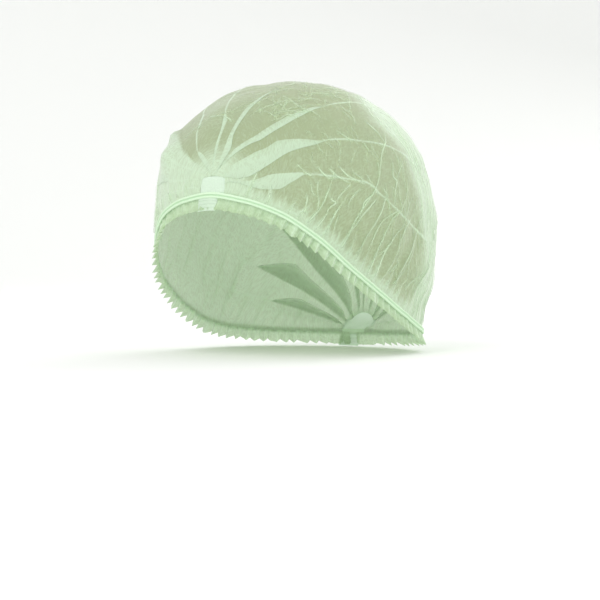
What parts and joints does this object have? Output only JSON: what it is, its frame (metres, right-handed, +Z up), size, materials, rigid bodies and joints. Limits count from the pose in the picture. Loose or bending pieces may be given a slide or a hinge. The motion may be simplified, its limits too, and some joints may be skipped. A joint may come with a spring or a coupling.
{
  "type": "disposable hair cover",
  "caption": "Gathered bouffant hair cover of sheer pale green nonwoven, in the form it takes on a head, with welded front and back pleats and an elastic rim.",
  "frame": {"origin": "the top of the hollow, where the crown of the head rests", "axes": "+Z up, the front of the cap towards -Y, the wearer's left at +X"},
  "size_m": [0.1628, 0.2024, 0.1713],
  "materials": {
    "crown_cloth": "sheer spunbond nonwoven, pale mint green",
    "frill_cloth": "sheer spunbond nonwoven, folded into points",
    "elastic": "thin elastic strand under one layer of cloth, satin",
    "welded_cloth": "many layers pressed together, slight sheen",
    "tail_cloth": "folded nonwoven, almost opaque"
  },
  "bodies": {
    "root": {"crown": "crown_cloth", "elastic_upper": "elastic", "elastic_lower": "elastic", "hem_frill_left": "frill_cloth", "hem_frill_right": "frill_cloth", "front_weld": "welded_cloth", "back_weld": "welded_cloth", "front_tail": "tail_cloth", "back_tail": "tail_cloth"}
  },
  "joints": []
}
